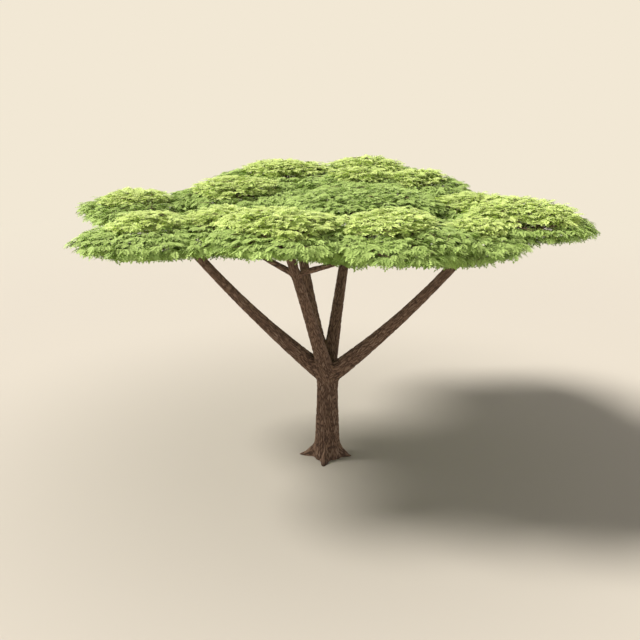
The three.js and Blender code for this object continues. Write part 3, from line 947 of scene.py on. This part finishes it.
def leaf_shape():
    """One feathered leaf along +X with its face up: kites set in pairs along a midrib, one more at its end,
    and the midrib itself, a thin triangle.

    A kite runs from the midrib, spreads to its full breadth before its middle and closes to a point. The
    pairs are longest halfway. The two halves of the leaf are raised like a shallow V, and the leaf droops to
    its tip.
    """
    settings = bpy.context.scene.acacia_leaf
    share = (np.arange(settings.pairs) + 0.55) / (settings.pairs + 0.15)
    long = settings.feather * (END_PAIRS + (1 - END_PAIRS) * np.sin(math.pi * share))
    root = np.append(np.repeat(share * settings.length, 2), settings.length)
    length = np.append(np.repeat(long, 2), settings.feather * END_FEATHER)[:, None]
    angle = np.append(np.tile([1.0, -1.0], settings.pairs) * FEATHER_ANGLE, 0.0)
    way = np.stack([np.cos(angle), np.sin(angle)], axis=-1)
    across = np.stack([-way[:, 1], way[:, 0]], axis=-1)
    base = np.stack([root, np.zeros_like(root)], axis=-1)
    wide = base + way * length * WIDEST
    half = settings.breadth / 2
    kites = np.stack([base, wide - across * half, base + way * length, wide + across * half], axis=1)
    rib = np.array([[0.0, -RIB_HALF], [settings.length, 0.0], [0.0, RIB_HALF]])
    flat = np.vstack([kites.reshape(-1, 2), rib])
    height = VEE * abs(flat[:, 1]) - DROOP * flat[:, 0] ** 2
    quads = np.arange(len(root) * 4).reshape(-1, 4)
    triangle = np.arange(3)[None] + len(root) * 4
    return np.column_stack([flat, height]), quads, triangle


def leaf_places(lines, sprays, random):
    """Where the leaves of every spray stand: alternately along the outer part of its twig, turned well off
    it to the left and right, with one at its tip. Each is about level, droops towards the rim, and is tilted
    at random, more so in the middle of a mass."""
    leaves = bpy.context.scene.acacia_leaf.leaves
    shape = len(lines), leaves
    share = np.linspace(FIRST_LEAF, 1.0, leaves)[None] + random.uniform(-LEAF_SHIFT, LEAF_SHIFT, shape)
    t = np.clip(share, 0, 1)[..., None]
    spot = parabola(lines[:, None, 0], twig_bend(lines)[:, None], lines[:, None, -1], t)
    way = unit(lines[:, -1] - lines[:, 1])
    bearing = np.arctan2(way[:, 1], way[:, 0])[:, None]
    side = np.where(np.arange(leaves) % 2 == 0, 1.0, -1.0)[None]
    side = side * np.where(random.random((len(lines), 1)) < 0.5, 1, -1)
    off = np.linspace(*LEAF_OFF, leaves)
    off[-1] = 0
    turn = bearing + side * np.radians(off)[None] + random.normal(0, TURN_WANDER, shape)
    droop = (BELLY_DROOP * sprays.depth + RIM_DROOP * sprays.edge)[:, None]
    lift = random.normal(LIFT, LIFT_WANDER, shape) - droop
    inner = np.clip(1 - 4 * abs(sprays.depth - 0.5), 0, 1) * (1 - sprays.edge)
    roll = random.normal(0, 1, shape) * (ROLL_WANDER + INNER_ROLL * inner)[:, None]
    return spot, turn, lift, roll


def leaf_mesh(spot, turn, lift, roll, scale):
    """Every leaf's points and faces: the leaf's shape turned by its roll about X, its lift about Y and its
    turn about Z, and moved to its spot."""
    shape, quads, triangle = leaf_shape()
    ct, st, cl, sl, cr, sr = (f(a) for a in (turn, lift, roll) for f in (np.cos, np.sin))
    along = np.stack([ct * cl, st * cl, sl], axis=-1)
    across = np.stack([-st * cr + ct * sl * sr, ct * cr + st * sl * sr, -cl * sr], axis=-1)
    turned = np.stack([along, across, np.cross(along, across)], axis=1)
    points = spot[:, None] + (shape[None] * scale[:, None, None]) @ turned
    first = np.arange(len(spot))[:, None, None] * len(shape)
    return points.reshape(-1, 3), (first + quads).reshape(-1, 4), (first + triangle).reshape(-1, 3)


def tones_of(sprays, random):
    """The number of each spray's tone by its place: bright and soft young leaves on the caps, and on a mass
    lighter tones on top and a darker one below, painted shade on its belly, with a little chance in it."""
    place = sprays.depth + random.normal(0, TONE_WANDER, len(sprays.depth))
    tone = YOUNG_TONES + (place >= TOP_TO) + (place >= MIDDLE_TO)
    young = np.where(random.random(len(place)) < BRIGHT_SHARE, 0, 1)
    return np.where(sprays.young & (sprays.depth < YOUNG_TO), young, tone)


def leaf_pieces(name, slot, picked):
    """Joins the leaves of the sprays whose tones are picked into as few pieces as the triangles allow."""
    settings = bpy.context.scene.acacia_leaf
    sprays, lines = crown().sprays, twig_lines()
    random = dice("leaves")
    tone = tones_of(sprays, random)
    spot, turn, lift, roll = leaf_places(lines, sprays, random)
    scale = random.uniform(*LEAF_SIZES, turn.shape) * sprays.size[:, None]
    wanted = np.flatnonzero(picked(tone))
    kites = 2 * settings.pairs + 1
    count = math.ceil(len(wanted) * settings.leaves * (2 * kites + 1) / MOST_TRIANGLES)
    prefix = "foliage_" if slot == "foliage" else "new_growth_"
    for number, share in enumerate(np.array_split(wanted, count)):
        points, quads, triangles = leaf_mesh(*(a[share].reshape(-1, *a.shape[2:])
                                               for a in (spot, turn, lift, roll, scale)))
        by_leaf = np.repeat(tone[share], settings.leaves)
        used, indices = np.unique(np.concatenate([np.repeat(by_leaf, kites), by_leaf]), return_inverse=True)
        masses = [MASSES[m].replace("foliage_", prefix) for m in np.unique(sprays.mass[share])]
        materials = [tone_material(TONES[u]) for u in used]
        shown(f"{name}_{number + 1}", points, [quads, triangles], materials,
              [m for m in masses if m in NODES], indices, smooth=False)


@lru_cache(maxsize=None)
def tone_material(tone):
    """A leaf's material: one plain base colour."""
    return plain_material("leaf_" + tone, getattr(bpy.context.scene.acacia_leaf, tone), 0.65, 0.2)


# ---- Operators ----
Skin = namedtuple("Skin", "sides row_step")  # points round a rod, and the distance between its rings
TRUNK_SKIN, BOUGH_SKIN, LIMB_SKIN = Skin(288, 0.0085), Skin(144, 0.018), Skin(48, 0.022)
CREST, CREST_RINGS = 0.21, 9  # height of the rounded crest that closes the trunk inside the fork
CREST_SHARES = (0.12, 0.985)  # of the height of the half circle that the crest's radii follow
LIMB_RELIEF = 0.55  # of a bough's
BRANCH_SIDES, BRANCH_RELIEF = 6, 0.62
TWIG_SIDES, TWIG_RADII = 3, (0.0044, 0.0032, 0.0008)
TWIG_GREEN = 0.45  # share of the leaves' darkest green, the under tone with its painted shade, in a twig's colour


class ACACIA_OT_trunk(bpy.types.Operator):
    """Make the trunk: bark relief over its lean and taper, with the root flare's toes"""

    bl_idname = "acacia.trunk"
    bl_label = "Trunk"

    def execute(self, context):
        random = dice("trunk")
        rod = rods()["trunk"]
        crest = rod.line[-1] + UP * np.linspace(LINE_STEP, CREST, CREST_RINGS)[:, None]
        shut = rod.radii[-1] * np.sqrt(1 - np.linspace(*CREST_SHARES, CREST_RINGS) ** 2)
        whole = Rod("trunk", np.vstack([rod.line, crest]), np.append(rod.radii, shut), None)
        depth = context.scene.acacia_bark.trunk_depth
        points, faces, relief, grain = barked(whole, *TRUNK_SKIN, depth, random, toes_of(rod, random))
        points[:, 2] = np.maximum(points[:, 2], 0)
        shown_in_bark("trunk_bark", points, faces, relief, grain, ["trunk"])
        return {"FINISHED"}


def bark_rods(nodes, skin, depth, random):
    """A barked piece for each of the nodes."""
    for node in nodes:
        shown_in_bark(node + "_bark", *barked(rods()[node], *skin, depth, random), [node])


class ACACIA_OT_boughs(bpy.types.Operator):
    """Make the boughs: bark relief along each, led smoothly out of the fork"""

    bl_idname = "acacia.boughs"
    bl_label = "Boughs"

    def execute(self, context):
        bark_rods(BOUGHS, BOUGH_SKIN, context.scene.acacia_bark.bough_depth, dice("boughs"))
        return {"FINISHED"}


class ACACIA_OT_limbs(bpy.types.Operator):
    """Make the limbs that the boughs divide into, led smoothly out of them"""

    bl_idname = "acacia.limbs"
    bl_label = "Limbs"

    def execute(self, context):
        bark_rods(LIMBS, LIMB_SKIN, context.scene.acacia_bark.bough_depth * LIMB_RELIEF, dice("limbs"))
        return {"FINISHED"}


class ACACIA_OT_branches(bpy.types.Operator):
    """Grow the branches on from the ends of the boughs and limbs through every mass"""

    bl_idname = "acacia.branches"
    bl_label = "Branches"

    def execute(self, context):
        points, faces = joined([tubes(lines, radii, BRANCH_SIDES) for lines, radii in crown().runs])
        relief = np.full(len(points), BRANCH_RELIEF)
        shown_in_bark("branches", points, faces, relief, points, MASSES)
        return {"FINISHED"}


class ACACIA_OT_twigs(bpy.types.Operator):
    """Make one thin twig for every spray"""

    bl_idname = "acacia.twigs"
    bl_label = "Twigs"

    def execute(self, context):
        lines = twig_lines()
        radii = np.array(TWIG_RADII)[None].repeat(len(lines), axis=0)
        points, faces = tubes(lines, radii, TWIG_SIDES)
        colours = zip(context.scene.acacia_bark.weathered_colour, context.scene.acacia_leaf.under_painted_shade)
        mixed = [(1 - TWIG_GREEN) * brown + TWIG_GREEN * green for brown, green in colours]
        material = plain_material("twig_bark", mixed, 0.85, 0.25)
        shown("twigs", points.reshape(-1, 3), faces, [material], MASSES)
        return {"FINISHED"}


class ACACIA_OT_leaves(bpy.types.Operator):
    """Make the leaves of the masses, in tones from light on top to darker below, the darker tone below being
    painted shade
    """

    bl_idname = "acacia.leaves"
    bl_label = "Leaves"

    def execute(self, context):
        leaf_pieces("leaves", "foliage", lambda tone: tone >= YOUNG_TONES)
        return {"FINISHED"}


class ACACIA_OT_young_leaves(bpy.types.Operator):
    """Make the pale young leaves of the caps of new growth"""

    bl_idname = "acacia.young_leaves"
    bl_label = "Young leaves"

    def execute(self, context):
        leaf_pieces("young_leaves", "new_growth", lambda tone: tone < YOUNG_TONES)
        return {"FINISHED"}


FLOOR_RADIUS, FLOOR_SIDES = 90.0, 96
FLOOR_FADE = (13.0, 30.0)  # metres from the trunk between which the floor fades into the backdrop
FLOOR_PAINTED_SHADE = (1.5, 10.5)  # metres from the trunk over which the painted shade beneath the crown gives way and the floor lightens
SUN_WAY = (4.7, -0.4, -5.3)  # the way that the sunlight travels
SUN_PLACE = (-6, 1, 12)  # where the sun's lamp stands, which changes nothing in its light
SUN_COLOUR = (1.0, 0.985, 0.955)
SKY_COLOUR = (1.0, 0.985, 0.960, 1.0)
SKY_RISE = (0.20, 0.45)  # sines of the heights between which the sky's light falls to its overhead strength
SENSOR, VIEW_END = 36.0, 400.0  # of the camera: its sensor's width in millimetres, and how far it sees


class ACACIA_OT_stage(bpy.types.Operator):
    """Make the floor, the soft light and the camera"""

    bl_idname = "acacia.stage"
    bl_label = "Stage"

    def execute(self, context):
        settings = context.scene.acacia_stage
        self.floor(context.scene, settings)
        self.sky(context.scene, settings)
        sun = bpy.data.lights.new("sun", "SUN")
        sun.energy, sun.angle, sun.color = settings.sun_light, settings.sun_angle, SUN_COLOUR
        lamp = bpy.data.objects.new("sun", sun)
        lamp.rotation_euler = Vector(SUN_WAY).to_track_quat("-Z", "Y").to_euler()
        lamp.location = SUN_PLACE
        context.scene.collection.objects.link(lamp)
        lens = bpy.data.cameras.new("camera")
        lens.sensor_width, lens.lens, lens.clip_end = SENSOR, settings.lens, VIEW_END
        camera = bpy.data.objects.new("camera", lens)
        camera.location = (settings.camera_side, -settings.camera_distance, settings.camera_height)
        camera.rotation_euler = (math.pi / 2 - settings.camera_dip, 0, 0)
        context.scene.collection.objects.link(camera)
        context.scene.camera = camera
        context.scene.view_settings.view_transform = "Standard"
        return {"FINISHED"}

    def floor(self, scene, settings):
        """A disc with painted shade beneath the crown that lightens with distance from the trunk, and further
        out fades into the backdrop.
        """
        angle = np.arange(FLOOR_SIDES) * FULL_TURN / FLOOR_SIDES
        ring = np.stack([np.cos(angle), np.sin(angle), np.zeros(FLOOR_SIDES)], axis=-1)
        mesh = bpy.data.meshes.new("floor")
        mesh.from_pydata((ring * FLOOR_RADIUS).tolist(), [], [list(range(FLOOR_SIDES))])
        floor = bpy.data.objects.new("floor", mesh)
        scene.collection.objects.link(floor)
        material = plain_material("floor", settings.floor, 0.9, 0.2)
        wire = Wiring(material)
        place = wire.add("ShaderNodeTexCoord").outputs["Object"]
        away = wire.add("ShaderNodeVectorMath", {0: place}, operation="LENGTH").outputs["Value"]
        fade = wire.ramp(away, *FLOOR_FADE, interpolation_type="SMOOTHSTEP")
        # painted shade: the floor is mixed from its darker colour beneath the crown out to its own colour
        light = wire.ramp(away, *FLOOR_PAINTED_SHADE, interpolation_type="SMOOTHSTEP")
        shader = wire.tree.nodes["Principled BSDF"]
        wire.put(shader, {"Base Color": wire.mix(light, (*settings.floor_painted_shade, 1), (*settings.floor, 1))})
        glow = wire.add("ShaderNodeEmission", {"Color": (*settings.backdrop, 1), "Strength": 1.0})
        mixed = wire.add("ShaderNodeMixShader", {0: fade, 1: shader.outputs[0], 2: glow.outputs[0]})
        wire.put(wire.tree.nodes["Material Output"], {"Surface": mixed.outputs[0]})
        mesh.materials.append(material)

    def sky(self, scene, settings):
        """Light from all round, strong low down and weak overhead. The backdrop shows in its own colour."""
        world = bpy.data.worlds.new("sky")
        world.use_nodes = True
        wire = Wiring(world)
        seen = wire.add("ShaderNodeLightPath").outputs["Is Camera Ray"]
        way = wire.add("ShaderNodeTexCoord").outputs["Generated"]
        rise = wire.add("ShaderNodeSeparateXYZ", {"Vector": way}).outputs["Z"]
        light = wire.ramp(rise, *SKY_RISE, settings.level_light, settings.overhead_light)
        wire.put(wire.tree.nodes["Background"], {
            "Color": wire.mix(seen, SKY_COLOUR, (*settings.backdrop, 1)),
            "Strength": wire.ramp(seen, 0.0, 1.0, light, 1.0),
        })
        scene.world = world


OPERATORS = (
    ACACIA_OT_trunk,
    ACACIA_OT_boughs,
    ACACIA_OT_limbs,
    ACACIA_OT_branches,
    ACACIA_OT_twigs,
    ACACIA_OT_leaves,
    ACACIA_OT_young_leaves,
    ACACIA_OT_stage,
)


class ACACIA_PT_panel(bpy.types.Panel):
    """The acacia's pieces and settings"""

    bl_idname = "ACACIA_PT_panel"
    bl_label = "Umbrella Acacia"
    bl_space_type = "VIEW_3D"
    bl_region_type = "UI"
    bl_category = "Acacia"

    def draw(self, context):
        for operator in OPERATORS:
            self.layout.operator(operator.bl_idname)
        for name, group in SETTINGS.items():
            box = self.layout.box()
            for field in group.__annotations__:
                box.prop(getattr(context.scene, name), field)


def register():
    for name, group in SETTINGS.items():
        bpy.utils.register_class(group)
        setattr(bpy.types.Scene, name, PointerProperty(type=group))
    for item in (*OPERATORS, ACACIA_PT_panel):
        bpy.utils.register_class(item)


def unregister():
    for item in (ACACIA_PT_panel, *reversed(OPERATORS)):
        bpy.utils.unregister_class(item)
    for name, group in SETTINGS.items():
        delattr(bpy.types.Scene, name)
        bpy.utils.unregister_class(group)


def main():
    register()
    for operator in OPERATORS:
        group, name = operator.bl_idname.split(".")
        getattr(getattr(bpy.ops, group), name)()


if __name__ == "__main__":
    main()
